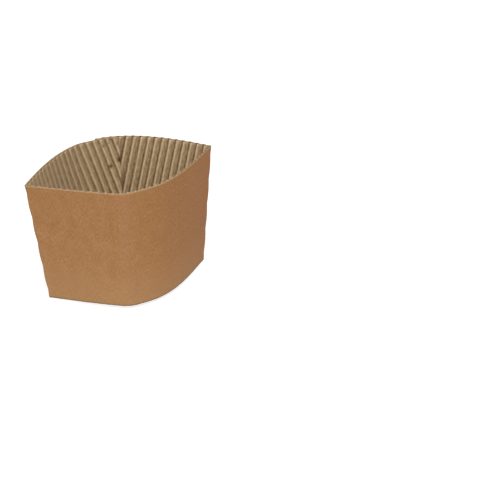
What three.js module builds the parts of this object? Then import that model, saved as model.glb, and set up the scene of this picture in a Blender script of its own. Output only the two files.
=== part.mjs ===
// Coffee cup sleeve: a band of single-face corrugated board, creased on both sides, glued to itself
// in a lap at the back and opened to a lens. Millimetres, +Z up, front wall towards -Y, creases on X.
import * as THREE from 'three';

// The folded band, lying flat: each wall is a fan-shaped panel from crease to crease.
const PANEL_WIDTH_TOP = 122;
const PANEL_WIDTH_BOTTOM = 105;
const PANEL_HEIGHT = 60;

// The glued lap: the left flap reaches past the middle of the back, the right flap covers its end.
const LEFT_FLAP = 73.5;
const LAP_WIDTH = 12;
const LAP_RAMP = 11;
const LAP_GAP = 0.2;

// The board: a smooth outer liner and a fluted inner medium, glued along the flute crests.
const LINER_THICKNESS = 0.3;
const MEDIUM_THICKNESS = 0.25;
const GLUE_GAP = 0.05;
const FLUTE_PITCH = 3.65;
const FLUTE_DEPTH = 0.9;
const MEDIUM_SETBACK = 0.15;

// How the band stands open, all at the top: how far the back wall bulges from the line between the
// creases, how far each wall's belly sways sideways, and the front wall's soft upright bend.
const BACK_BULGE = 35;
const BACK_SWAY = 1;
const FRONT_SWAY = -1.5;
const FRONT_BEND = 1.9;
const FRONT_BEND_WIDTH = 7.4;
const FRONT_BEND_PLACE = -14.3;

// The creases press the flutes flat, and the board turns the corner within a short stretch.
const CRUSH_WIDTH = 4;
const MITRE_WIDTH = 3;

// Mesh fineness: strips to a flute, rows from rim to rim, and steps along a wall's plan curve.
const MEDIUM_STRIPS = 6;
const LINER_STRIPS = 2;
const ROWS = 4;
const PLAN_STEPS = 240;

// The blank is a ring sector. Its apex is the origin of the blank and of the cone that it makes.
const FAN_ANGLE = (2 * (PANEL_WIDTH_TOP - PANEL_WIDTH_BOTTOM)) / PANEL_HEIGHT;
const WALL_ANGLE = FAN_ANGLE / 2;
const RADIUS_TOP = PANEL_WIDTH_TOP / WALL_ANGLE;
const RADIUS_BOTTOM = RADIUS_TOP - PANEL_HEIGHT;
const CREASE_ANGLE = WALL_ANGLE / 2;
const LEFT_END_ANGLE = CREASE_ANGLE + LEFT_FLAP / RADIUS_TOP;
const RIGHT_FLAP = PANEL_WIDTH_TOP - LEFT_FLAP + LAP_WIDTH;
const RIGHT_END_ANGLE = CREASE_ANGLE + RIGHT_FLAP / RADIUS_TOP;
const BOARD_THICKNESS = LINER_THICKNESS + GLUE_GAP + FLUTE_DEPTH + MEDIUM_THICKNESS;

function smoothstep(t) {
  const x = Math.min(1, Math.max(0, t));
  return x * x * (3 - 2 * x);
}

// A direction from the apex, given by its angles from the cone's axis towards +X and +Y.
function directionAt(p, q) {
  const angle = Math.hypot(p, q);
  const scale = angle > 0 ? Math.sin(angle) / angle : 1;
  return new THREE.Vector3(scale * p, scale * q, Math.cos(angle));
}

// One wall's plan curve on the unit sphere, from the left crease to the right one. side is -1 for
// the front and 1 for the back. bulge, sway and bend are lengths at the top rim.
function planCurve(halfChord, { side, bulge, sway, bend }) {
  const points = [];
  for (let i = 0; i <= PLAN_STEPS; i += 1) {
    const x = (2 * i) / PLAN_STEPS - 1;
    const belly = bulge * Math.cos((Math.PI * x) / 2) + sway * Math.sin(Math.PI * x);
    const fromBend = (halfChord * x * RADIUS_TOP - FRONT_BEND_PLACE) / FRONT_BEND_WIDTH;
    const ridge = bend * (1 - x * x) * Math.exp(-fromBend * fromBend);
    points.push(directionAt(halfChord * x, (side * (belly + ridge)) / RADIUS_TOP));
  }
  return points;
}

function curveLengths(points) {
  const lengths = [0];
  for (let i = 1; i < points.length; i += 1) {
    lengths.push(lengths[i - 1] + points[i].angleTo(points[i - 1]));
  }
  return lengths;
}

// The board doesn't stretch, so each wall keeps its length. This finds the value that gives it.
function solveLength(limit, curveFor) {
  let low = 0;
  let high = limit;
  for (let i = 0; i < 50; i += 1) {
    const middle = (low + high) / 2;
    if (curveLengths(curveFor(middle)).at(-1) < WALL_ANGLE) low = middle;
    else high = middle;
  }
  return low;
}

// The back wall's bulge says how far apart the creases stand, and that says how far the front bulges.
const BACK_SHAPE = { side: 1, bulge: BACK_BULGE, sway: BACK_SWAY, bend: 0 };
const HALF_CHORD = solveLength(WALL_ANGLE / 2, (chord) => planCurve(chord, BACK_SHAPE));
const FRONT_SHAPE = { side: -1, sway: FRONT_SWAY, bend: FRONT_BEND };
const FRONT_BULGE = solveLength(PANEL_WIDTH_TOP, (bulge) => planCurve(HALF_CHORD, { ...FRONT_SHAPE, bulge }));

function makeWall(shape) {
  const points = planCurve(HALF_CHORD, shape);
  const lengths = curveLengths(points);
  const total = lengths.at(-1);
  return { side: shape.side, points, lengths: lengths.map((length) => (length / total) * WALL_ANGLE) };
}

const FRONT = makeWall({ ...FRONT_SHAPE, bulge: FRONT_BULGE });
const BACK = makeWall(BACK_SHAPE);

// Direction from the apex at an angle along the sheet from the wall's left crease.
function wallDirection(wall, along) {
  const { points, lengths } = wall;
  let low = 0;
  let high = lengths.length - 1;
  while (high - low > 1) {
    const middle = (low + high) >> 1;
    if (lengths[middle] <= along) low = middle;
    else high = middle;
  }
  const t = (along - lengths[low]) / (lengths[high] - lengths[low]);
  return points[low].clone().lerp(points[high], t).normalize();
}

function wallInward(wall, along) {
  const step = WALL_ANGLE / PLAN_STEPS;
  const before = wallDirection(wall, Math.max(0, along - step));
  const after = wallDirection(wall, Math.min(WALL_ANGLE, along + step));
  const inward = before.cross(after).normalize();
  return wall.side > 0 ? inward.negate() : inward;
}

// At a crease both walls share one inward vector, long enough to keep each wall's thickness.
function mitre(along) {
  const sum = wallInward(FRONT, along).add(wallInward(BACK, along));
  return sum.multiplyScalar(2 / sum.lengthSq());
}

const MITRES = { left: mitre(0), right: mitre(WALL_ANGLE) };

// The inward vector at a place on the sheet, turning into the mitre towards the nearer crease.
function inwardVector(wall, along, radius) {
  const nearLeft = along < WALL_ANGLE / 2;
  const distance = radius * (nearLeft ? along : WALL_ANGLE - along);
  const share = Math.min(1, distance / MITRE_WIDTH);
  const corner = nearLeft ? MITRES.left : MITRES.right;
  return corner.clone().lerp(wallInward(wall, along), share);
}

function creaseDistance(along, radius) {
  return radius * Math.min(along, WALL_ANGLE - along);
}

// How far the left flap dives behind the right flap's end.
function lapDepth(along, radius) {
  const rightEnd = (PANEL_WIDTH_TOP - RIGHT_FLAP) / RADIUS_TOP;
  const toRamp = (along - rightEnd) * radius + LAP_RAMP;
  return (BOARD_THICKNESS + LAP_GAP) * smoothstep(toRamp / LAP_RAMP);
}

// The three panels of the blank, each with the blank angles that bound it, the sheet angle at which a
// blank angle lies on its wall, and how deep its outer face lies there.
const PANELS = [
  {
    wall: FRONT,
    hand: 0,
    inner: 0,
    outer: CREASE_ANGLE,
    along: (angle) => CREASE_ANGLE + angle,
    dive: () => 0,
  },
  {
    wall: BACK,
    hand: -1,
    inner: CREASE_ANGLE,
    outer: LEFT_END_ANGLE,
    along: (angle) => -CREASE_ANGLE - angle,
    dive: lapDepth,
  },
  {
    wall: BACK,
    hand: 1,
    inner: CREASE_ANGLE,
    outer: RIGHT_END_ANGLE,
    along: (angle) => WALL_ANGLE + CREASE_ANGLE - angle,
    dive: () => 0,
  },
];

// Flute lines are upright in the blank. These cut it into strips, with one through each corner.
function columnPlaces(strips, low, high) {
  const step = FLUTE_PITCH / strips;
  const ends = [-LEFT_END_ANGLE, -CREASE_ANGLE, CREASE_ANGLE, RIGHT_END_ANGLE];
  const corners = ends.flatMap((angle) => [low * Math.sin(angle), high * Math.sin(angle)]);
  const places = [...corners];
  for (let k = Math.ceil(corners[1] / step); k * step < corners.at(-1); k += 1) {
    if (corners.every((corner) => Math.abs(corner - k * step) > step / 4)) places.push(k * step);
  }
  return places.sort((a, b) => a - b);
}

function isOnPanel(panel, x, low, high) {
  if (panel.hand === 0) return Math.abs(x) <= high * Math.sin(panel.outer);
  const reach = panel.hand * x;
  return reach >= low * Math.sin(panel.inner) && reach <= high * Math.sin(panel.outer);
}

// Where a flute line enters and leaves a panel: at a rim's arc, or at a crease or a cut end.
function columnSpan(panel, x, low, high) {
  const reach = Math.abs(x);
  const onArc = (radius) => Math.sqrt(Math.max(0, radius * radius - reach * reach));
  const onLine = (angle) => reach / Math.tan(angle);
  const start = reach <= low * Math.sin(panel.outer) ? onArc(low) : onLine(panel.outer);
  const meetsCrease = panel.hand !== 0 && reach < high * Math.sin(panel.inner);
  const end = meetsCrease ? onLine(panel.inner) : onArc(high);
  return [start, Math.max(start, end)];
}

// The blank as a flat triangle mesh: columns along the flutes, rows from rim to rim, panels welded
// along the creases.
function makeBlank(strips, low, high) {
  const vertices = [];
  const triangles = [];
  const known = new Map();
  const weld = (panel, x, y) => {
    const key = `${x.toFixed(4)} ${y.toFixed(4)}`;
    if (!known.has(key)) {
      known.set(key, vertices.length);
      vertices.push({ panel, x, y });
    }
    return known.get(key);
  };
  const places = columnPlaces(strips, low, high);
  for (const panel of PANELS) {
    const columns = places.filter((x) => isOnPanel(panel, x, low, high)).map((x) => {
      const [start, end] = columnSpan(panel, x, low, high);
      const rows = Array.from({ length: ROWS + 1 }, (_, row) => start + ((end - start) * row) / ROWS);
      return rows.map((y) => weld(panel, x, y));
    });
    for (let i = 0; i + 1 < columns.length; i += 1) {
      for (let j = 0; j < ROWS; j += 1) {
        const [a, b] = [columns[i][j], columns[i + 1][j]];
        const [c, d] = [columns[i + 1][j + 1], columns[i][j + 1]];
        if (a !== b && b !== c && c !== a) triangles.push([a, b, c]);
        if (a !== c && c !== d && d !== a) triangles.push([a, c, d]);
      }
    }
  }
  return { vertices, triangles };
}

// The place in space of a point of the blank, at a depth below the board's outer face.
function fold({ panel, x, y }, depthAt) {
  const radius = Math.hypot(x, y);
  const along = Math.min(WALL_ANGLE, Math.max(0, panel.along(Math.atan2(x, y))));
  const depth = panel.dive(along, radius) + depthAt(x, creaseDistance(along, radius));
  const inward = inwardVector(panel.wall, along, radius);
  return wallDirection(panel.wall, along).multiplyScalar(radius).addScaledVector(inward, depth);
}

// A sheet of paper as one closed solid: an outer face, an inner face and the cut edges between them.
function makeSheet(blank, outerDepth, innerDepth) {
  const { vertices, triangles } = blank;
  const count = vertices.length;
  const faces = [outerDepth, innerDepth].flatMap((depthAt) => vertices.map((v) => fold(v, depthAt)));
  const edges = new Set(triangles.flatMap(([a, b, c]) => [`${a} ${b}`, `${b} ${c}`, `${c} ${a}`]));
  const index = [];
  for (const [a, b, c] of triangles) {
    index.push(a, b, c, a + count, c + count, b + count);
  }
  for (const edge of edges) {
    const [a, b] = edge.split(' ').map(Number);
    if (!edges.has(`${b} ${a}`)) index.push(b, a, a + count, b, a + count, b + count);
  }
  const geometry = new THREE.BufferGeometry();
  geometry.setAttribute('position', new THREE.Float32BufferAttribute(faces.flatMap((f) => f.toArray()), 3));
  geometry.setIndex(index);
  return geometry;
}

// The medium's outer face touches the liner at each crest and lies a flute deeper between them.
function waveDepth(x, distance) {
  const wave = (1 - Math.cos((2 * Math.PI * x) / FLUTE_PITCH)) / 2;
  return LINER_THICKNESS + GLUE_GAP + FLUTE_DEPTH * wave * smoothstep(distance / CRUSH_WIDTH);
}

function makeLiner() {
  const blank = makeBlank(LINER_STRIPS, RADIUS_BOTTOM, RADIUS_TOP);
  const geometry = makeSheet(blank, () => 0, () => LINER_THICKNESS);
  const material = new THREE.MeshStandardMaterial({ color: '#a0764b', roughness: 0.75, metalness: 0 });
  return makePiece('outer_liner', geometry, material);
}

function makeMedium() {
  const blank = makeBlank(MEDIUM_STRIPS, RADIUS_BOTTOM + MEDIUM_SETBACK, RADIUS_TOP - MEDIUM_SETBACK);
  const innerDepth = (x, distance) => waveDepth(x, distance) + MEDIUM_THICKNESS;
  const geometry = makeSheet(blank, waveDepth, innerDepth);
  const material = new THREE.MeshStandardMaterial({ color: '#8c7355', roughness: 0.9, metalness: 0 });
  return makePiece('fluted_medium', geometry, material);
}

function makePiece(name, geometry, material) {
  geometry.computeVertexNormals();
  const mesh = new THREE.Mesh(geometry, material);
  mesh.name = name;
  return mesh;
}

// The rims are lowest at the creases, so the band rocks back until the back wall's bottom edge is
// level with the two crease corners.
function restLean(liner) {
  const position = liner.geometry.getAttribute('position');
  const point = new THREE.Vector3();
  const cornerHeight = directionAt(HALF_CHORD, 0).z * RADIUS_BOTTOM;
  let lean = Math.PI / 2;
  for (let i = 0; i < position.count; i += 1) {
    point.fromBufferAttribute(position, i);
    if (point.y > BACK_BULGE / 2) lean = Math.min(lean, Math.atan2(point.z - cornerHeight, point.y));
  }
  return lean;
}

// The band stands on its bottom rim, with the origin at the middle of its footprint.
function standUp(liner, medium) {
  const band = new THREE.Group();
  band.add(liner, medium);
  band.rotation.x = -restLean(liner);
  band.updateMatrixWorld(true);
  const box = new THREE.Box3().setFromObject(band, true);
  const centre = box.getCenter(new THREE.Vector3());
  band.position.set(-centre.x, -centre.y, -box.min.z);
  return band;
}

const sleeve = new THREE.Group();
sleeve.add(standUp(makeLiner(), makeMedium()));

export default sleeve;
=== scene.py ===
"""The looks of an opened coffee cup sleeve: two plies of kraft paper, creased, glued and fluted."""

import math

import bpy
import numpy as np
from mathutils import Matrix, Vector


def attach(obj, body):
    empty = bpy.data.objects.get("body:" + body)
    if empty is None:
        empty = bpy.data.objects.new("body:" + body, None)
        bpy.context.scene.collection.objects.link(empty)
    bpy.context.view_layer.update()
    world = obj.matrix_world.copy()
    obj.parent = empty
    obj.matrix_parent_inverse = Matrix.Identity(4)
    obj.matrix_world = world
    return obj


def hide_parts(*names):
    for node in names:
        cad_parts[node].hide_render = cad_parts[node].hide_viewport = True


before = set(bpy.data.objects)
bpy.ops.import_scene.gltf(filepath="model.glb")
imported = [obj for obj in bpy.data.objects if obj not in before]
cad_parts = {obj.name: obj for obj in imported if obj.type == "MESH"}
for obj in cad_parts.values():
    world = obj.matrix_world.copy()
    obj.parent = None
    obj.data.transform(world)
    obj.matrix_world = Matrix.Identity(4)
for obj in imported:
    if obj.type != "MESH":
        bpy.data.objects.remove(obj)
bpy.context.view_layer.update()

MM = 0.001
TAU = 2 * math.pi

# Millimetres of the blank to one unit of the sheet coordinates that the materials read.
SHEET_UNIT = 100

# The folded band, lying flat, in millimetres: each wall is a fan-shaped panel.
PANEL_WIDTH_TOP = 122.0
PANEL_WIDTH_BOTTOM = 105.0
PANEL_HEIGHT = 60.0

# The glued lap at the back.
LEFT_FLAP = 73.5
LAP_WIDTH = 12.0
LAP_RAMP = 11.0
LAP_GAP = 0.2

# The board: a smooth liner and a fluted medium, glued along the flute crests.
LINER_THICKNESS = 0.3
MEDIUM_THICKNESS = 0.25
GLUE_GAP = 0.05
FLUTE_PITCH = 3.65
FLUTE_DEPTH = 0.9
MEDIUM_SETBACK = 0.15

# How the band stands open: bulges and sways of its walls, and the front wall's soft upright bend.
BACK_BULGE = 35.0
BACK_SWAY = 1.0
FRONT_SWAY = -1.5
FRONT_BEND = 1.9
FRONT_BEND_WIDTH = 7.4
FRONT_BEND_PLACE = -14.3

# The flaps' cut ends press the flutes down a little too.
END_CRUSH = 0.45
END_CRUSH_WIDTH = 2.5

# The creases: flutes pressed flat, a rounded fold, and a scallop where each half flute crosses it.
CRUSH_WIDTH = 3.6
MITRE_WIDTH = 3.0
FOLD_WIDTH = 0.7
SCALLOP_WIDTH = 1.2

# Unevenness of the paper: how deep it is, and the length of its waves.
WASHBOARD = 0.03
LINER_BUCKLE = 0.05
LINER_BUCKLE_LENGTH = 34
MEDIUM_BUCKLE = 0.06
MEDIUM_BUCKLE_LENGTH = 4.5
FLUTE_WANDER = 0.15
FLUTE_WANDER_LENGTH = 30
SEED = 7

# How much flatter the flattest flute is, as a share, and how many flutes draw their own share.
FLUTE_JITTER = 0.14
JITTER_DRAWS = 400

# The rims: how far they draw back, their roughness, and a scallop to a flute along the right flap.
RIM_SETBACK = 0.02
RIM_ROUGHNESS = 0.1
RIM_ROUGHNESS_LENGTH = 2.6
RIM_SCALLOP = 0.16
RIM_NOTCH = 0.74

# Painted shade of the flute hollows in each scallop: full and gone at these distances below the
# rim, and its strength.
RIM_SHADE_NEAR = 0.3
RIM_SHADE_FAR = 0.8
RIM_SHADE = 0.85

# The liner darkens over this height towards its lower rim.
LOWER_FRINGE = 0.9

# Small dents and dark spots on the inner flap: how far from the left crease and below the rim,
# their radius and their strength.
FLUTE_SPOTS = [
    (73.0, 11.8, 1.8, 1.0),
    (67.9, 14.6, 1.7, 0.95),
    (64.8, 3.8, 1.3, 0.6),
    (68.6, 1.0, 1.2, 0.5),
    (67.9, 2.6, 1.1, 0.5),
    (72.6, 3.3, 1.3, 0.55),
]
DENT_DEPTH = 0.35

# Painted sheen: a faint pinkish band down the front wall's soft bend, where the light glances off
# it: its middle, where it ends to each side, its strength.
SHEEN_BAND_PLACE = -12.5
SHEEN_BAND_WIDTH = 5.0
SHEEN_BAND = 0.45

# Painted shade and painted warm reflected light: the liner is painted warmer and deeper towards the
# right crease.
BOUNCE_SHADE_WIDTH = 72.0
BOUNCE_SHADE = 0.95

# Painted light: the flutes are painted paler and plainer towards the left crease, to lift that
# shaded part.
CREASE_LIGHT_WIDTH = 90.0
CREASE_LIGHT = 0.72

# Painted light and shade across one flute, from valley to crest to valley: how pale the medium is
# painted at each place.
FLUTE_LIGHT_AND_SHADE = [
    (0.0, 0.36), (0.2, 0.42), (0.34, 0.6), (0.47, 1.0),
    (0.6, 0.5), (0.7, 0.0), (0.84, 0.12), (1.0, 0.36),
]

# Mesh fineness.
LINER_STEP = 0.5
LINER_CREASE_STEP = 0.16
LINER_CREASE_ZONE = 3.2
LINER_ROWS = 60
MEDIUM_STRIPS = 12
MEDIUM_ROWS = 50
PLAN_STEPS = 2400
SOLVE_STEPS = 50

# The photograph's view, in pixels of a 480 pixel frame, millimetres and degrees.
FRAME_PIXELS = 480
FOCAL_PIXELS = 1430.0
SENSOR_WIDTH = 36.0
VIEW_AZIMUTH = -26.43
VIEW_ELEVATION = 27.44
VIEW_ROLL = -0.82
VIEW_DISTANCE = 732.4
VIEW_TARGET = (66.13, 7.67, 0.0)
CLIP_START = 10.0

# The studio: the floor's half side, what it gives back, how white it looks, and the lamps, all in
# metres and watts.
FLOOR_REACH = 3.0
FLOOR_CARD = (0.88, 0.88, 0.88)
FLOOR_SHADE = (0.56, 0.56, 0.56)
FLOOR_GLOW = 0.72
WORLD_LIGHT = 0.48
LIGHT_AIM = (0, 0, 0.03)
LAMP_SIZE = 0.5
LAMPS = [
    ("front_top", (-0.22, -0.68, 0.95), 5.4, (1, 1, 1)),
    ("right_top", (0.5, -0.15, 1.0), 1.2, (1, 1, 1)),
    ("key", (-0.95, -0.5, 0.5), 1.4, (1, 0.98, 0.95)),
]

FAN_ANGLE = 2 * (PANEL_WIDTH_TOP - PANEL_WIDTH_BOTTOM) / PANEL_HEIGHT
WALL_ANGLE = FAN_ANGLE / 2
RADIUS_TOP = PANEL_WIDTH_TOP / WALL_ANGLE
RADIUS_BOTTOM = RADIUS_TOP - PANEL_HEIGHT
CREASE_ANGLE = WALL_ANGLE / 2
LEFT_END_ANGLE = CREASE_ANGLE + LEFT_FLAP / RADIUS_TOP
RIGHT_FLAP = PANEL_WIDTH_TOP - LEFT_FLAP + LAP_WIDTH
RIGHT_END_ANGLE = CREASE_ANGLE + RIGHT_FLAP / RADIUS_TOP
BOARD_THICKNESS = LINER_THICKNESS + GLUE_GAP + FLUTE_DEPTH + MEDIUM_THICKNESS


def smoothstep(t):
    x = np.clip(t, 0, 1)
    return x * x * (3 - 2 * x)


def ripple(x, y, wavelength, seed, waves=7):
    """Smooth seeded unevenness between about -1 and 1, with waves of about one length."""
    rng = np.random.default_rng(seed)
    total = np.zeros(np.broadcast(x, y).shape)
    for _ in range(waves):
        heading = rng.uniform(0, TAU)
        length = wavelength * rng.uniform(0.6, 1.6)
        phase = rng.uniform(0, TAU)
        total += np.sin(TAU * (x * math.cos(heading) + y * math.sin(heading)) / length + phase)
    return total / math.sqrt(waves * 2)


def direction_at(p, q):
    """A direction from the cone's apex, by its angles from the axis towards +X and +Y."""
    angle = np.hypot(p, q)
    scale = np.sinc(angle / math.pi)
    return np.stack([scale * p, scale * q, np.cos(angle)], -1)


def plan_curve(half_chord, side, bulge, sway, bend):
    x = np.linspace(-1, 1, PLAN_STEPS + 1)
    belly = bulge * np.cos(math.pi * x / 2) + sway * np.sin(math.pi * x)
    from_bend = (half_chord * x * RADIUS_TOP - FRONT_BEND_PLACE) / FRONT_BEND_WIDTH
    flute_shading = bend * (1 - x * x) * np.exp(-from_bend * from_bend)
    return direction_at(half_chord * x, side * (belly + flute_shading) / RADIUS_TOP)


def curve_lengths(points):
    steps = np.linalg.norm(np.diff(points, axis=0), axis=1)
    return np.concatenate([[0], np.cumsum(steps)])


def solve_length(limit, curve_for):
    """Finds the value that gives a wall its length, which it keeps, as board doesn't stretch."""
    low, high = 0.0, limit
    for _ in range(SOLVE_STEPS):
        middle = (low + high) / 2
        if curve_lengths(curve_for(middle))[-1] < WALL_ANGLE:
            low = middle
        else:
            high = middle
    return low


HALF_CHORD = solve_length(
    WALL_ANGLE / 2, lambda chord: plan_curve(chord, 1, BACK_BULGE, BACK_SWAY, 0)
)
FRONT_BULGE = solve_length(
    PANEL_WIDTH_TOP, lambda bulge: plan_curve(HALF_CHORD, -1, bulge, FRONT_SWAY, FRONT_BEND)
)


class Wall:
    """One wall of the opened band, as directions from the apex and inward normals along it."""

    def __init__(self, side, bulge, sway, bend):
        self.points = plan_curve(HALF_CHORD, side, bulge, sway, bend)
        lengths = curve_lengths(self.points)
        self.lengths = lengths / lengths[-1] * WALL_ANGLE
        step = np.gradient(self.points, self.lengths, axis=0)
        inward = -side * np.cross(self.points, step)
        self.normals = inward / np.linalg.norm(inward, axis=1)[:, None]

    def sample(self, values, along):
        return np.stack([np.interp(along, self.lengths, values[:, k]) for k in range(3)], -1)

    def direction(self, along):
        return self.sample(self.points, along)

    def inward(self, along):
        return self.sample(self.normals, along)


FRONT = Wall(-1, FRONT_BULGE, FRONT_SWAY, FRONT_BEND)
BACK = Wall(1, BACK_BULGE, BACK_SWAY, 0)

# The painted sheen band's angle on the blank, from its place across the opened front wall.
SHEEN_BAND_ANGLE = float(np.interp(
    SHEEN_BAND_PLACE / RADIUS_TOP, HALF_CHORD * np.linspace(-1, 1, PLAN_STEPS + 1), FRONT.lengths
)) - CREASE_ANGLE


def mitre(index):
    """The inward vector that both walls share at a crease, keeping each wall's thickness."""
    total = FRONT.normals[index] + BACK.normals[index]
    return total * 2 / total.dot(total)


LEFT_MITRE = mitre(0)
RIGHT_MITRE = mitre(-1)


def rest_pose():
    """The turn and shift that stand the band on its crease corners and its back edge."""
    radii = (RADIUS_BOTTOM, RADIUS_TOP)
    rims = [wall.points * radius for wall in (FRONT, BACK) for radius in radii]
    back = BACK.points * RADIUS_BOTTOM
    middle = back[back[:, 1] > BACK_BULGE / 2]
    lean = np.arctan2(middle[:, 2] - back[0, 2], middle[:, 1]).min()
    turn = np.array(Matrix.Rotation(-lean, 3, "X"))
    cloud = np.vstack(rims) @ turn.T
    low, high = cloud.min(0), cloud.max(0)
    return turn, np.array([-(low[0] + high[0]) / 2, -(low[1] + high[1]) / 2, -low[2]])


TURN, SHIFT = rest_pose()


def on_walls(angle):
    """For blank angles: whether each lies on the front wall, and its angle along that wall."""
    front = np.abs(angle) <= CREASE_ANGLE
    back = np.where(angle < 0, -CREASE_ANGLE - angle, WALL_ANGLE + CREASE_ANGLE - angle)
    return front, np.clip(np.where(front, CREASE_ANGLE + angle, back), 0, WALL_ANGLE)


def crease_distance(angle, radius):
    return radius * np.abs(np.abs(angle) - CREASE_ANGLE)


def lap_depth(angle, radius):
    """How far the left flap dives behind the right flap's end."""
    along = -CREASE_ANGLE - angle
    covered = (along - (PANEL_WIDTH_TOP - RIGHT_FLAP) / RADIUS_TOP) * radius + LAP_RAMP
    dive = (BOARD_THICKNESS + LAP_GAP) * smoothstep(covered / LAP_RAMP)
    return np.where(angle < -CREASE_ANGLE, dive, 0)


def fold_inset(angle, radius, half_angle):
    """How far the rounded, scalloped fold lies inside the sharp corner of the two walls."""
    crossing = np.abs(np.sin(TAU * radius * math.sin(CREASE_ANGLE) / FLUTE_PITCH))
    width = FOLD_WIDTH + SCALLOP_WIDTH * (1 - crossing)
    short = np.clip(width - crease_distance(angle, radius), 0, None)
    return math.cos(half_angle) * short * short / (2 * width)


def fold(x, y, depth):
    """Points of the blank, at a depth below the outer face, as points in space in metres."""
    radius = np.hypot(x, y)
    angle = np.clip(np.arctan2(x, y), -LEFT_END_ANGLE, RIGHT_END_ANGLE)
    front, along = on_walls(angle)
    pick = front[:, None]
    direction = np.where(pick, FRONT.direction(along), BACK.direction(along))
    normal = np.where(pick, FRONT.inward(along), BACK.inward(along))
    corner = np.where((angle < 0)[:, None], LEFT_MITRE, RIGHT_MITRE)
    share = np.clip(crease_distance(angle, radius) / MITRE_WIDTH, 0, 1)[:, None]
    inward = corner + (normal - corner) * share
    stretch = np.linalg.norm(LEFT_MITRE)
    inset = fold_inset(angle, radius, math.asin(1 / stretch)) / stretch
    point = direction * radius[:, None] + inward * (depth + lap_depth(angle, radius))[:, None]
    point += corner * inset[:, None]
    return (point @ TURN.T + SHIFT) * MM


def flap_point(along, below):
    """The blank's point this far from the left crease along the left flap and below the rim."""
    angle = -CREASE_ANGLE - along / RADIUS_TOP
    radius = RADIUS_TOP - below
    return radius * math.sin(angle), radius * math.cos(angle)


def liner_depth(x, y):
    """The liner sinks a little between the glue lines and buckles softly over the wall."""
    radius = np.hypot(x, y)
    angle = np.arctan2(x, y)
    calm = smoothstep(crease_distance(angle, radius) / (2 * CRUSH_WIDTH))
    sink = WASHBOARD * (1 - np.cos(TAU * x / FLUTE_PITCH)) / 2
    buckle = LINER_BUCKLE * (1 + ripple(x, y, LINER_BUCKLE_LENGTH, SEED)) / 2
    return calm * (sink + buckle)


def flute_phase(x, y):
    """The turn of the flutes' wave, which wanders a little along each flute."""
    wander = FLUTE_WANDER * ripple(x * 0.4, y, FLUTE_WANDER_LENGTH, SEED + 1)
    return TAU * (x + wander) / FLUTE_PITCH


def medium_depth(x, y):
    """The medium's outer face: at the liner on each glued crest, a flute deeper in between."""
    radius = np.hypot(x, y)
    angle = np.arctan2(x, y)
    wave = (1 - np.cos(flute_phase(x, y))) / 2
    draws = np.random.default_rng(SEED + 2).uniform(-1, 1, JITTER_DRAWS)
    jitter = draws[np.round(x / FLUTE_PITCH - 0.5).astype(int) % JITTER_DRAWS]
    crush = smoothstep(crease_distance(angle, radius) / CRUSH_WIDTH)
    for end in (-LEFT_END_ANGLE, RIGHT_END_ANGLE):
        inside = smoothstep(radius * np.abs(angle - end) / END_CRUSH_WIDTH)
        crush = crush * (1 - END_CRUSH * (1 - inside))
    height = FLUTE_DEPTH * (1 - FLUTE_JITTER * (1 + jitter) / 2) * crush
    dents = MEDIUM_BUCKLE * (1 + ripple(x, y * 0.5, MEDIUM_BUCKLE_LENGTH, SEED + 3)) / 2
    for along, below, size, strength in FLUTE_SPOTS:
        place = flap_point(along, below)
        fall = np.hypot(x - place[0], y - place[1]) / size
        dents = dents + DENT_DEPTH * strength * np.exp(-fall * fall)
    return liner_depth(x, y) + LINER_THICKNESS + GLUE_GAP + wave * (height - dents * crush)


def rim_bite(x, y, low, high):
    """A cut rim isn't quite smooth, so its radius varies a little, always inwards."""
    angle = np.arctan2(x, y)
    radius = np.hypot(x, y)
    rough = ripple(angle * RADIUS_TOP, radius * 0, RIM_ROUGHNESS_LENGTH, SEED + 4)
    bite = RIM_SETBACK + RIM_ROUGHNESS * (1 + rough) / 2
    notch = (1 - np.cos(TAU * (x / FLUTE_PITCH - RIM_NOTCH))) / 2
    bite = bite + RIM_SCALLOP * np.where(angle > CREASE_ANGLE, notch, 0.5)
    share = np.clip((radius - low) / (high - low), 0, 1)
    return 1 + bite * (1 - 2 * share) / radius


def build_piece(name, cells, x, y, outer_depth, inner_depth, materials):
    """A sheet of paper as one closed mesh: outer face, inner face and the cut edges."""
    count = len(x)
    points = np.vstack([fold(x, y, outer_depth), fold(x, y, inner_depth)])
    faces = [tuple(cell) for cell in cells]
    faces += [tuple(index + count for index in reversed(cell)) for cell in cells]
    edges = {(c[i], c[(i + 1) % len(c)]) for c in cells for i in range(len(c))}
    border = sorted(edge for edge in edges if edge[::-1] not in edges)
    cut_faces = [(b, a, a + count, b + count) for a, b in border]
    mesh = bpy.data.meshes.new(name)
    mesh.from_pydata(points.tolist(), [], faces + cut_faces)
    mesh.validate()
    for material in materials:
        mesh.materials.append(material)
    indices = np.zeros(len(mesh.polygons), dtype=np.int32)
    indices[len(faces):] = 1
    mesh.polygons.foreach_set("material_index", indices)
    smooth = indices == 0
    mesh.polygons.foreach_set("use_smooth", smooth)
    sheet = mesh.uv_layers.new(name="sheet")
    corner = np.zeros(len(mesh.loops), dtype=np.int32)
    mesh.loops.foreach_get("vertex_index", corner)
    flat = np.stack([x, y], -1)[corner % count] / SHEET_UNIT
    sheet.data.foreach_set("uv", flat.ravel())
    piece = bpy.data.objects.new(name, mesh)
    bpy.context.collection.objects.link(piece)
    return piece


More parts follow.
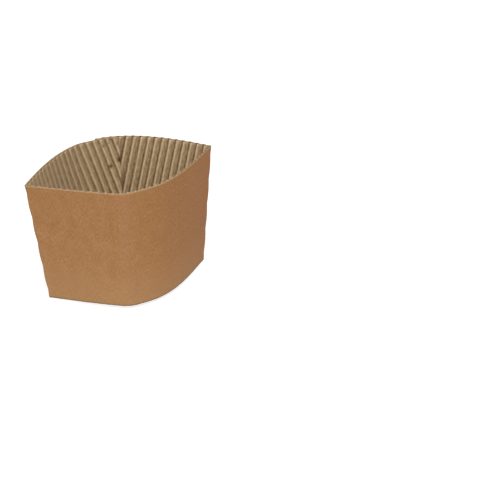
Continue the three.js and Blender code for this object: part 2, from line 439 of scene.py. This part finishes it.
def liner_angles():
    """Blank angles of the liner's columns: even steps, finer about the creases."""
    reach = LINER_CREASE_ZONE / RADIUS_TOP
    spans = [
        (-LEFT_END_ANGLE, -CREASE_ANGLE - reach, LINER_STEP),
        (-CREASE_ANGLE - reach, -CREASE_ANGLE + reach, LINER_CREASE_STEP),
        (-CREASE_ANGLE + reach, CREASE_ANGLE - reach, LINER_STEP),
        (CREASE_ANGLE - reach, CREASE_ANGLE + reach, LINER_CREASE_STEP),
        (CREASE_ANGLE + reach, RIGHT_END_ANGLE, LINER_STEP),
    ]
    angles = [
        np.linspace(a, b, 2 * round((b - a) * RADIUS_TOP / step / 2) + 1) for a, b, step in spans
    ]
    return np.unique(np.round(np.concatenate(angles), 9))


def make_liner(materials):
    angles = liner_angles()
    radii = np.linspace(RADIUS_BOTTOM, RADIUS_TOP, LINER_ROWS + 1)
    angle, radius = [grid.ravel() for grid in np.meshgrid(angles, radii, indexing="ij")]
    x, y = radius * np.sin(angle), radius * np.cos(angle)
    scale = rim_bite(x, y, RADIUS_BOTTOM, RADIUS_TOP)
    x, y = x * scale, y * scale
    rows = LINER_ROWS + 1
    cells = []
    for i in range(len(angles) - 1):
        for j in range(LINER_ROWS):
            a = i * rows + j
            cells.append((a, a + rows, a + rows + 1, a + 1))
    depth = liner_depth(x, y)
    return build_piece("liner_sheet", cells, x, y, depth, depth + LINER_THICKNESS, materials)


# The blank's three panels: the hand of the blank that they lie on and their bounding angles.
PANELS = [
    (0, 0.0, CREASE_ANGLE),
    (-1, CREASE_ANGLE, LEFT_END_ANGLE),
    (1, CREASE_ANGLE, RIGHT_END_ANGLE),
]


def column_places(low, high):
    """Flute lines that cut the blank into strips, with one through each corner of a panel."""
    step = FLUTE_PITCH / MEDIUM_STRIPS
    ends = [-LEFT_END_ANGLE, -CREASE_ANGLE, CREASE_ANGLE, RIGHT_END_ANGLE]
    corners = np.array([radius * math.sin(end) for end in ends for radius in (low, high)])
    first, last = math.ceil(corners.min() / step), math.floor(corners.max() / step)
    places = np.arange(first, last + 1) * step
    clear = np.abs(places[:, None] - corners).min(1) > step / 4
    return np.sort(np.concatenate([places[clear], corners]))


def column_span(hand, inner, outer, x, low, high):
    """Where a flute line enters and leaves a panel: at a rim, a crease or a cut end."""
    reach = abs(x)
    start = reach / math.tan(outer)
    if reach <= low * math.sin(outer):
        start = math.sqrt(low * low - reach * reach)
    if hand and reach < high * math.sin(inner):
        end = reach / math.tan(inner)
    else:
        end = math.sqrt(max(0, high * high - reach * reach))
    return start, max(start, end)


def make_medium(materials):
    low, high = RADIUS_BOTTOM + MEDIUM_SETBACK, RADIUS_TOP - MEDIUM_SETBACK
    places = column_places(low, high)
    known = {}
    vertices = []
    cells = []

    def weld(x, y):
        key = (round(x, 4), round(y, 4))
        if key not in known:
            known[key] = len(vertices)
            vertices.append((x, y))
        return known[key]

    for hand, inner, outer in PANELS:
        first = low * math.sin(inner) if hand else -high * math.sin(outer)
        last = high * math.sin(outer)
        reach = places * hand if hand else places
        columns = []
        for x in places[(reach >= first) & (reach <= last)]:
            start, end = column_span(hand, inner, outer, x, low, high)
            columns.append([weld(x, y) for y in np.linspace(start, end, MEDIUM_ROWS + 1)])
        for left, right in zip(columns, columns[1:]):
            for j in range(MEDIUM_ROWS):
                cell = [left[j], right[j], right[j + 1], left[j + 1]]
                cell = [v for i, v in enumerate(cell) if v != cell[i - 1]]
                if len(set(cell)) > 2:
                    cells.append(tuple(cell))
    x, y = np.array(vertices).T
    scale = rim_bite(x, y, low, high)
    x, y = x * scale, y * scale
    depth = medium_depth(x, y)
    return build_piece("medium_sheet", cells, x, y, depth, depth + MEDIUM_THICKNESS, materials)


# The mix node has sockets for each kind of value. These are its factor, its two colours and result.
MIX_INPUTS = (0, 6, 7)
MIX_OUTPUT = 2


class Nodes:
    """A short way to write a material's node tree."""

    def __init__(self, name):
        self.material = bpy.data.materials.new(name)
        self.material.use_nodes = True
        self.tree = self.material.node_tree
        self.shader = self.tree.nodes["Principled BSDF"]
        self.sheet = self.add("ShaderNodeUVMap", uv_map="sheet").outputs["UV"]

    def add(self, kind, **settings):
        node = self.tree.nodes.new(kind)
        for key, value in settings.items():
            setattr(node, key, value)
        return node

    def link(self, source, target):
        self.tree.links.new(source, target)

    def stretched(self, along, across):
        """Sheet coordinates, so that a pattern has these sizes in millimetres."""
        node = self.add("ShaderNodeMapping")
        node.inputs["Scale"].default_value = (SHEET_UNIT / across, SHEET_UNIT / along, 1)
        self.link(self.sheet, node.inputs["Vector"])
        return node.outputs["Vector"]

    def noise(self, vector, detail, roughness):
        node = self.add("ShaderNodeTexNoise")
        node.inputs["Scale"].default_value = 1.0
        node.inputs["Detail"].default_value = detail
        node.inputs["Roughness"].default_value = roughness
        self.link(vector, node.inputs["Vector"])
        return node.outputs["Fac"]

    def flute_turns(self):
        """How many flutes lie between the blank's middle line and a point."""
        split = self.add("ShaderNodeSeparateXYZ")
        self.link(self.sheet, split.inputs["Vector"])
        return self.maths("MULTIPLY", split.outputs["X"], SHEET_UNIT / FLUTE_PITCH)

    def fan_angle(self):
        """The blank's angle at a point, from its middle line."""
        split = self.add("ShaderNodeSeparateXYZ")
        self.link(self.sheet, split.inputs["Vector"])
        return self.maths("ARCTAN2", split.outputs["X"], split.outputs["Y"])

    def rim_nearness(self, near, far):
        """From 1 at a distance below the top rim in millimetres to 0 at a greater one."""
        node = self.add("ShaderNodeVectorMath", operation="LENGTH")
        self.link(self.sheet, node.inputs[0])
        low, high = (RADIUS_TOP - far) / SHEET_UNIT, (RADIUS_TOP - near) / SHEET_UNIT
        return self.span(node.outputs["Value"], low, high)

    def line_nearness(self, angle, width, strength):
        """A strength on the fan's line at an angle that fades to 0 at a width in millimetres."""
        distance = self.maths("ABSOLUTE", self.maths("SUBTRACT", self.fan_angle(), angle))
        return self.span(distance, 0, width / RADIUS_TOP, strength, 0)

    def painted_rim_shade(self):
        """How much painted shade of the flute hollows shows along the right flap's rim, one dark
        mark to a flute.
        """
        phase = self.maths("SUBTRACT", self.flute_turns(), RIM_NOTCH)
        wave = self.maths("COSINE", self.maths("MULTIPLY", phase, TAU))
        on_flap = self.maths("GREATER_THAN", self.fan_angle(), CREASE_ANGLE)
        mark = self.maths("MULTIPLY", self.span(wave, 0.1, 0.9, 0, RIM_SHADE), on_flap)
        return self.maths("MULTIPLY", mark, self.rim_nearness(RIM_SHADE_NEAR, RIM_SHADE_FAR))

    def spot(self, place, size, strength):
        """A soft round spot at a place of the sheet, sizes in millimetres."""
        node = self.add("ShaderNodeVectorMath", operation="DISTANCE")
        self.link(self.sheet, node.inputs[0])
        node.inputs[1].default_value = (place[0] / SHEET_UNIT, place[1] / SHEET_UNIT, 0)
        return self.span(node.outputs["Value"], size / SHEET_UNIT, 0, 0, strength)

    def ramp(self, source, stops):
        node = self.add("ShaderNodeValToRGB")
        elements = node.color_ramp.elements
        while len(elements) < len(stops):
            elements.new(0.5)
        for element, (place, colour) in zip(elements, stops):
            element.position = place
            element.color = (*colour, 1)
        self.link(source, node.inputs["Fac"])
        return node.outputs["Color"]

    def span(self, source, low, high, to_low=0.0, to_high=1.0):
        """Takes a value from one range to another and holds it inside the new one."""
        node = self.add("ShaderNodeMapRange")
        node.inputs["From Min"].default_value = low
        node.inputs["From Max"].default_value = high
        node.inputs["To Min"].default_value = to_low
        node.inputs["To Max"].default_value = to_high
        self.link(source, node.inputs["Value"])
        return node.outputs["Result"]

    def mix(self, factor, base, colour):
        """Lays a colour over a base by a factor's output."""
        node = self.add("ShaderNodeMix", data_type="RGBA")
        factor_socket, base_socket, colour_socket = [node.inputs[i] for i in MIX_INPUTS]
        self.link(factor, factor_socket)
        self.link(base, base_socket)
        colour_socket.default_value = (*colour, 1)
        return node.outputs[MIX_OUTPUT]

    def tint(self, base, colour, source, low, high, strength):
        """Lays a colour over a base, from none at the source's low to a strength at its high."""
        return self.mix(self.span(source, low, high, 0, strength), base, colour)

    def maths(self, operation, first, second=0.0):
        node = self.add("ShaderNodeMath", operation=operation)
        for socket, value in zip(node.inputs, (first, second)):
            if isinstance(value, (int, float)):
                socket.default_value = value
            else:
                self.link(value, socket)
        return node.outputs[0]

    def bump(self, height, distance, strength, normal=None):
        """A relief, its distance in metres, over another one if there is one."""
        node = self.add("ShaderNodeBump")
        node.inputs["Distance"].default_value = distance
        node.inputs["Strength"].default_value = strength
        self.link(height, node.inputs["Height"])
        if normal:
            self.link(normal, node.inputs["Normal"])
        return node.outputs["Normal"]

    def finish(self, colour, roughness, normal, specular):
        self.link(colour, self.shader.inputs["Base Color"])
        if isinstance(roughness, float):
            self.shader.inputs["Roughness"].default_value = roughness
        else:
            self.link(roughness, self.shader.inputs["Roughness"])
        self.shader.inputs["Specular IOR Level"].default_value = specular
        self.link(normal, self.shader.inputs["Normal"])
        return self.material


def srgb(red, green, blue):
    """A colour as an image shows it, from 0 to 255, as the linear colour that a shader takes."""
    def linear(value):
        share = value / 255
        return share / 12.92 if share <= 0.04045 else ((share + 0.055) / 1.055) ** 2.4
    return linear(red), linear(green), linear(blue)


KRAFT_DARK = srgb(156, 107, 60)
KRAFT_MID = srgb(167, 119, 72)
KRAFT_LIGHT = srgb(180, 132, 85)
KRAFT_SHEEN_PINK = srgb(172, 121, 84)
KRAFT_BOUNCE_SHADE = srgb(155, 99, 49)
KRAFT_SCUFF = srgb(202, 173, 132)
FIBRE_DARK = srgb(120, 77, 44)
FIBRE_LIGHT = srgb(204, 164, 122)
EDGE_LIGHT = srgb(184, 160, 126)
EDGE_DARK = srgb(130, 108, 82)
EDGE_HOLLOW_SHADE = srgb(66, 50, 32)
# The medium's tones from valley to crest, which also carry its painted light and shade.
FLUTE_CREST = srgb(236, 212, 173)
FLUTE_FLANK = srgb(194, 168, 131)
FLUTE_VALLEY = srgb(118, 95, 67)
FLUTE_PAINTED_LIGHT = srgb(205, 180, 144)
FLUTE_SPOT_DARK = srgb(66, 42, 24)


def kraft_liner():
    """Smooth kraft: soft clouds, fibres, dark specks, a scuffed rim, a dark lower fringe, and
    painted light, shade and sheen.
    """
    n = Nodes("kraft_liner")
    clouds = n.noise(n.stretched(7, 5), detail=5, roughness=0.6)
    base = n.ramp(clouds, [(0.25, KRAFT_DARK), (0.5, KRAFT_MID), (0.75, KRAFT_LIGHT)])
    mottle = n.noise(n.stretched(1.6, 1.1), detail=3, roughness=0.6)
    base = n.tint(base, KRAFT_LIGHT, mottle, low=0.5, high=0.7, strength=0.55)
    base = n.tint(base, KRAFT_DARK, mottle, low=0.5, high=0.3, strength=0.55)
    # Painted bounce light: the liner is painted lighter towards its lower rim, where floor bounce
    # falls, and darker towards its top.
    painted_bounce_height = n.rim_nearness(near=0, far=PANEL_HEIGHT)
    base = n.tint(base, KRAFT_LIGHT, painted_bounce_height, low=0.6, high=0, strength=0.6)
    base = n.tint(base, KRAFT_DARK, painted_bounce_height, low=0.5, high=1, strength=0.3)
    # Painted sheen: a pinkish band along the front wall's bend.
    base = n.mix(n.line_nearness(SHEEN_BAND_ANGLE, SHEEN_BAND_WIDTH, SHEEN_BAND), base, KRAFT_SHEEN_PINK)
    # Painted shade and warm reflected light towards the right crease.
    base = n.mix(n.line_nearness(CREASE_ANGLE, BOUNCE_SHADE_WIDTH, BOUNCE_SHADE), base, KRAFT_BOUNCE_SHADE)
    fibres = n.noise(n.stretched(1.6, 0.22), detail=3, roughness=0.65)
    base = n.tint(base, FIBRE_LIGHT, fibres, low=0.5, high=0.72, strength=0.4)
    base = n.tint(base, FIBRE_DARK, fibres, low=0.48, high=0.3, strength=0.35)
    specks = n.noise(n.stretched(0.5, 0.7), detail=2, roughness=0.7)
    base = n.tint(base, FIBRE_DARK, specks, low=0.66, high=0.74, strength=0.45)
    patches = n.span(mottle, 0.3, 0.7, to_low=-0.3, to_high=0.1)
    scuff = n.maths("ADD", n.rim_nearness(near=0.15, far=0.6), patches)
    base = n.tint(base, KRAFT_SCUFF, scuff, low=0.05, high=0.8, strength=0.85)
    # Painted shade of the flute hollows in the right flap's rim scallops.
    base = n.mix(n.painted_rim_shade(), base, EDGE_HOLLOW_SHADE)
    # More painted bounce light: the lower third is painted a little paler still, in the scuff's
    # colour.
    base = n.tint(base, KRAFT_SCUFF, painted_bounce_height, low=0.35, high=0, strength=0.15)
    fringe = n.rim_nearness(near=PANEL_HEIGHT, far=PANEL_HEIGHT - LOWER_FRINGE)
    base = n.mix(fringe, base, EDGE_DARK)
    grain = n.noise(n.stretched(0.3, 0.5), detail=4, roughness=0.7)
    normal = n.bump(grain, distance=0.00006, strength=0.6)
    normal = n.bump(fibres, distance=0.00005, strength=0.5, normal=normal)
    roughness = n.span(clouds, 0.3, 0.7, to_low=0.68, to_high=0.82)
    return n.finish(base, roughness, normal, specular=0.3)


def kraft_medium():
    """Rough greyish kraft, with painted light and shade: lighter on the flute crests, darker
    between them.
    """
    n = Nodes("kraft_medium")
    # Painted light and shade across each flute: lighter on its crest and lit flank, darker in its
    # valley and shaded flank.
    turn = n.maths("FRACT", n.flute_turns())
    flute_shading = n.ramp(turn, [(place, (lightness, lightness, lightness)) for place, lightness in FLUTE_LIGHT_AND_SHADE])
    blot = n.noise(n.stretched(3, 0.9), detail=4, roughness=0.65)
    shading_and_blots = n.maths("ADD", flute_shading, n.span(blot, 0.25, 0.75, to_low=-0.3, to_high=0.3))
    base = n.ramp(shading_and_blots, [(0.0, FLUTE_VALLEY), (0.5, FLUTE_FLANK), (1.0, FLUTE_CREST)])
    # Painted light: paler, plainer flutes towards the left crease.
    base = n.mix(n.line_nearness(-CREASE_ANGLE, CREASE_LIGHT_WIDTH, CREASE_LIGHT), base, FLUTE_PAINTED_LIGHT)
    valley = n.span(flute_shading, 0.45, 0.1, to_low=0, to_high=0.8)
    shaded = n.maths("MULTIPLY", n.rim_nearness(near=0.1, far=1.2), valley)
    base = n.mix(shaded, base, FLUTE_VALLEY)
    fibres = n.noise(n.stretched(1.2, 0.25), detail=3, roughness=0.65)
    base = n.tint(base, FIBRE_LIGHT, fibres, low=0.52, high=0.74, strength=0.4)
    base = n.tint(base, FIBRE_DARK, fibres, low=0.47, high=0.28, strength=0.35)
    for along, below, size, strength in FLUTE_SPOTS:
        base = n.mix(n.spot(flap_point(along, below), size, strength), base, FLUTE_SPOT_DARK)
    grain = n.noise(n.stretched(0.35, 0.35), detail=4, roughness=0.7)
    normal = n.bump(grain, distance=0.0001, strength=0.8)
    roughness = n.span(blot, 0.3, 0.7, to_low=0.8, to_high=0.95)
    return n.finish(base, roughness, normal, specular=0.15)


def kraft_cut(name):
    """A cut edge shows the paper's pale torn fibres."""
    n = Nodes(name)
    fray = n.noise(n.stretched(0.4, 0.7), detail=4, roughness=0.7)
    base = n.ramp(fray, [(0.3, EDGE_DARK), (0.6, EDGE_LIGHT)])
    # Painted shade of the flute hollows where the cut edge meets the right flap's scallops.
    base = n.mix(n.painted_rim_shade(), base, EDGE_HOLLOW_SHADE)
    return n.finish(base, 0.9, n.bump(fray, distance=0.0001, strength=0.7), specular=0.1)


def sees_stage(nodes, links):
    """1 for the rays that show the floor or the backdrop to the eye, in gloss and glass too."""
    path = nodes.new("ShaderNodeLightPath")
    seen = path.outputs["Is Camera Ray"]
    for name in ("Is Glossy Ray", "Is Transmission Ray"):
        either = nodes.new("ShaderNodeMath")
        either.operation = "MAXIMUM"
        links.new(seen, either.inputs[0])
        links.new(path.outputs[name], either.inputs[1])
        seen = either.outputs[0]
    return seen


def add_floor():
    """A plain floor that lights the object as pale card does and looks white but for the shadow."""
    mesh = bpy.data.meshes.new("floor")
    signs = [(-1, -1), (1, -1), (1, 1), (-1, 1)]
    corners = [(FLOOR_REACH * x, FLOOR_REACH * y, 0) for x, y in signs]
    mesh.from_pydata(corners, [], [(0, 1, 2, 3)])
    floor = bpy.data.objects.new("floor", mesh)
    bpy.context.collection.objects.link(floor)
    material = bpy.data.materials.new("floor_white")
    material.use_nodes = True
    nodes, links = material.node_tree.nodes, material.node_tree.links
    nodes.remove(nodes["Principled BSDF"])
    card = nodes.new("ShaderNodeBsdfDiffuse")
    card.inputs["Color"].default_value = (*FLOOR_CARD, 1)
    shade = nodes.new("ShaderNodeBsdfDiffuse")
    shade.inputs["Color"].default_value = (*FLOOR_SHADE, 1)
    glow = nodes.new("ShaderNodeEmission")
    glow.inputs["Strength"].default_value = FLOOR_GLOW
    white = nodes.new("ShaderNodeAddShader")
    links.new(shade.outputs[0], white.inputs[0])
    links.new(glow.outputs[0], white.inputs[1])
    pick = nodes.new("ShaderNodeMixShader")
    links.new(sees_stage(nodes, links), pick.inputs[0])
    links.new(card.outputs[0], pick.inputs[1])
    links.new(white.outputs[0], pick.inputs[2])
    links.new(pick.outputs[0], nodes["Material Output"].inputs["Surface"])
    mesh.materials.append(material)


def add_lamp(name, place, power, colour):
    lamp = bpy.data.lights.new(name, "AREA")
    lamp.size = LAMP_SIZE
    lamp.energy = power
    lamp.color = colour
    holder = bpy.data.objects.new(name, lamp)
    holder.location = place
    aim = Vector(LIGHT_AIM) - Vector(place)
    holder.rotation_euler = aim.to_track_quat("-Z", "Y").to_euler()
    bpy.context.collection.objects.link(holder)


def add_lights():
    world = bpy.data.worlds.new("studio")
    bpy.context.scene.world = world
    world.use_nodes = True
    nodes, links = world.node_tree.nodes, world.node_tree.links
    background = nodes["Background"]
    background.inputs["Color"].default_value = (1, 1, 1, 1)
    background.inputs["Strength"].default_value = WORLD_LIGHT
    backdrop = nodes.new("ShaderNodeBackground")
    backdrop.inputs["Color"].default_value = (1, 1, 1, 1)
    pick = nodes.new("ShaderNodeMixShader")
    links.new(sees_stage(nodes, links), pick.inputs[0])
    links.new(background.outputs[0], pick.inputs[1])
    links.new(backdrop.outputs[0], pick.inputs[2])
    links.new(pick.outputs[0], nodes["World Output"].inputs["Surface"])
    for lamp in LAMPS:
        add_lamp(*lamp)


def add_camera():
    azimuth, elevation = math.radians(VIEW_AZIMUTH), math.radians(VIEW_ELEVATION)
    target = Vector(VIEW_TARGET) * MM
    outward = Vector((
        math.sin(azimuth) * math.cos(elevation),
        -math.cos(azimuth) * math.cos(elevation),
        math.sin(elevation),
    ))
    lens = bpy.data.cameras.new("view")
    lens.sensor_width = SENSOR_WIDTH
    lens.lens = FOCAL_PIXELS * SENSOR_WIDTH / FRAME_PIXELS
    lens.clip_start = CLIP_START * MM
    camera = bpy.data.objects.new("view", lens)
    roll = Matrix.Rotation(math.radians(VIEW_ROLL), 3, "Z")
    turn = outward.to_track_quat("Z", "Y").to_matrix() @ roll
    place = Matrix.Translation(target + outward * VIEW_DISTANCE * MM)
    camera.matrix_world = place @ turn.to_4x4()
    bpy.context.collection.objects.link(camera)
    bpy.context.scene.camera = camera


def dress():
    liner = make_liner([kraft_liner(), kraft_cut("kraft_liner_cut")])
    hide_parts("outer_liner")
    medium = make_medium([kraft_medium(), kraft_cut("kraft_medium_cut")])
    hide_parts("fluted_medium")
    for piece in (liner, medium):
        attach(piece, "root")


dress()
add_floor()
add_lights()
add_camera()
bpy.context.scene.view_settings.view_transform = "Standard"
